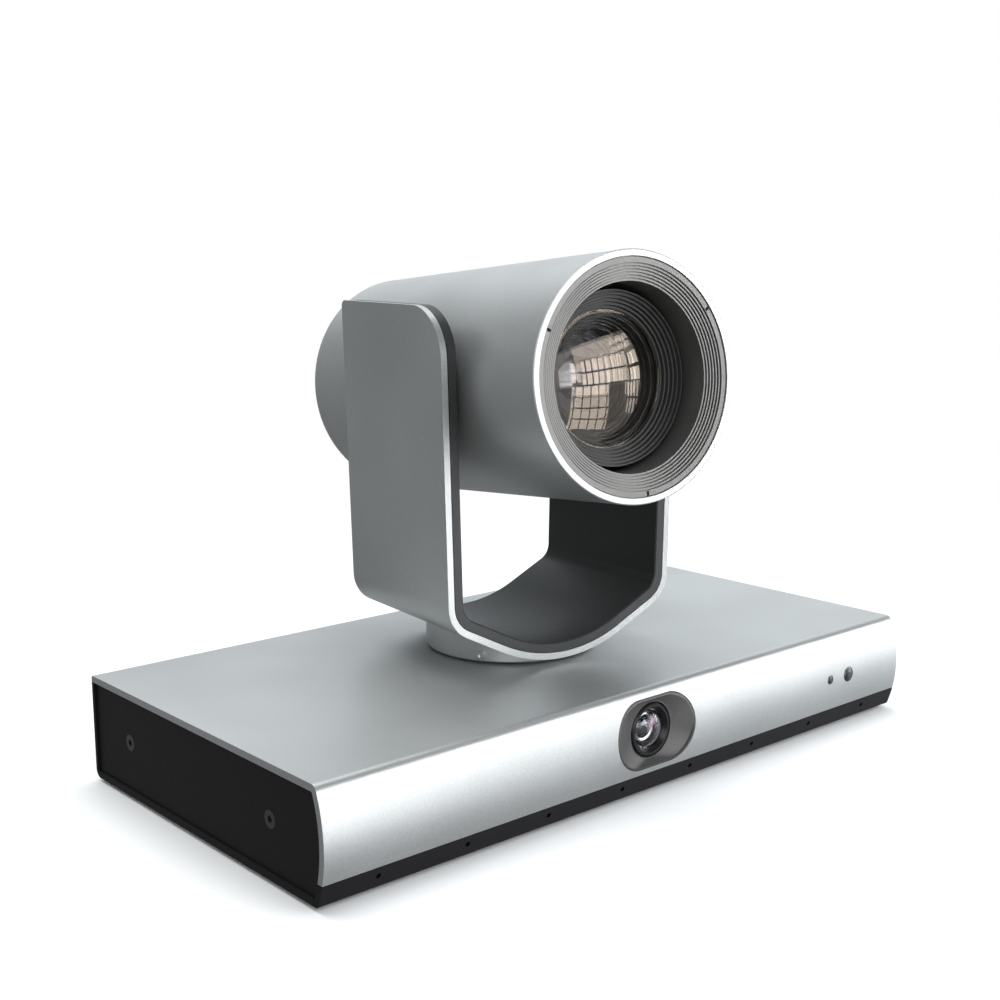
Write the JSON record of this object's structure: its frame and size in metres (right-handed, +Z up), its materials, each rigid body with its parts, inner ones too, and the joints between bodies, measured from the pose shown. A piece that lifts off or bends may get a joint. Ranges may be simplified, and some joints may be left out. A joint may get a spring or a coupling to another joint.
{
  "type": "ptz camera",
  "caption": "Pan-tilt-zoom conference camera: a wide flat base with a fixed panoramic lens carries a panning U-shaped yoke that holds a tilting cylindrical zoom camera.",
  "frame": {"origin": "mouth of the tripod thread, at the centre of the base's underside", "axes": "+X to the right seen from the front, along the base's width; -Y is the front; +Z up, along the pan axis"},
  "size_m": [0.24, 0.1382, 0.1602],
  "materials": {
    "silver_satin": "silver satin, bead-blasted fine grain",
    "black_texture": "black fine-textured powder coat",
    "black_screw": "black zinc-plated screw",
    "bright_screw": "bright steel",
    "rubber_black": "matt black rubber",
    "brass": "machined brass",
    "steel_plate": "zinc-plated steel",
    "bezel_grey": "dark grey satin moulding",
    "lens_black": "matt black anodised",
    "lens_glass": "coated optical glass",
    "window_dark": "dark gloss window",
    "board_green": "green solder mask",
    "black_plastic": "black moulded plastic",
    "liner_dark": "dark grey fine-textured plastic",
    "nickel": "nickel plated",
    "heat_sink_black": "black anodised",
    "gear_plastic": "natural acetal",
    "motor_steel": "drawn steel can"
  },
  "bodies": {
    "base": {"base_top_shell": "silver_satin", "base_bottom_tray": "black_texture", "cover_screws": "black_screw", "rubber_feet": "rubber_black", "tripod_nut": "brass", "left_side_panel": "black_texture", "right_side_panel": "black_texture", "side_panel_screws": "black_screw", "side_brackets": "steel_plate", "panorama_bezel": "bezel_grey", "panorama_lens_barrel": "lens_black", "panorama_lens": "lens_glass", "panorama_sensor_board": "board_green", "status_led": "window_dark", "infrared_receiver_window": "window_dark", "indicator_board": "board_green", "microphones": "black_plastic", "microphone_board": "board_green", "rear_panel": "black_texture", "main_board": "board_green", "board_standoffs": "brass", "heat_sink": "heat_sink_black", "power_jack": "black_plastic", "network_jack": "black_plastic", "hdmi_jack": "nickel", "audio_jack": "black_plastic", "sdi_connector": "nickel", "pan_frame": "steel_plate", "pan_bush": "gear_plastic", "pan_motor": "motor_steel", "pan_home_sensor": "black_plastic"},
    "yoke": {"yoke_shell": "silver_satin", "yoke_liner": "liner_dark", "yoke_foot": "silver_satin", "yoke_foot_screws": "bright_screw", "pan_spindle": "steel_plate", "spindle_ring": "bright_screw", "pan_gear": "gear_plastic", "left_trunnion": "steel_plate", "right_trunnion": "steel_plate", "tilt_gear": "gear_plastic"},
    "head": {"head_tube": "silver_satin", "lens_hood": "bezel_grey", "head_rear_cap": "black_texture", "rear_cap_screws": "black_screw", "lens_barrel": "lens_black", "front_lens": "lens_glass", "lens_block": "lens_black", "guide_rods": "bright_screw", "image_sensor_board": "board_green", "head_chassis": "steel_plate", "tilt_bushes": "gear_plastic", "tilt_motor": "motor_steel", "head_board": "board_green"},
    "pan_pinion_shaft": {"pan_pinion": "gear_plastic", "pan_motor_shaft": "bright_screw"},
    "tilt_idler_wheel": {"tilt_idler": "gear_plastic"},
    "tilt_pinion_shaft": {"tilt_pinion": "gear_plastic"},
    "zoom_carriage": {"zoom_group": "black_plastic"},
    "focus_carriage": {"focus_group": "black_plastic"}
  },
  "joints": [
    {"name": "pan", "type": "hinge", "parent": "base", "child": "yoke", "pos_m": [0, 0.0042, 0.02], "axis": [0, 0, 1], "range_deg": [-163.2, 176.8]},
    {"name": "tilt", "type": "hinge", "parent": "yoke", "child": "head", "pos_m": [0, 0.0042, 0.1175], "axis": [-0.993, 0.1184, 0], "range_deg": [-35.1, 84.9]},
    {"name": "pan_pinion_turn", "type": "hinge", "parent": "base", "child": "pan_pinion_shaft", "pos_m": [0.0375, 0.0042, 0.02], "axis": [0, 0, 1], "range_deg": [-710, 656]},
    {"name": "tilt_idler_turn", "type": "hinge", "parent": "head", "child": "tilt_idler_wheel", "pos_m": [-0.02251, 0.03497, 0.11501], "axis": [-0.993, 0.1184, 0], "range_deg": [-48, 115]},
    {"name": "tilt_pinion_turn", "type": "hinge", "parent": "head", "child": "tilt_pinion_shaft", "pos_m": [-0.02053, 0.05159, 0.11352], "axis": [-0.993, 0.1184, 0], "range_deg": [-285, 120]},
    {"name": "zoom", "type": "slide", "parent": "head", "child": "zoom_carriage", "axis": [-0.1179, -0.989, 0.0889], "range_m": [-0.008, 0.014]},
    {"name": "focus", "type": "slide", "parent": "head", "child": "focus_carriage", "axis": [-0.1179, -0.989, 0.0889], "range_m": [-0.003, 0.003]}
  ],
  "couplings": [
    {"joint": "pan_pinion_turn", "follows": "pan", "ratio": -4},
    {"joint": "tilt_idler_turn", "follows": "tilt", "ratio": 1.3333},
    {"joint": "tilt_pinion_turn", "follows": "tilt", "ratio": -3.3333}
  ]
}
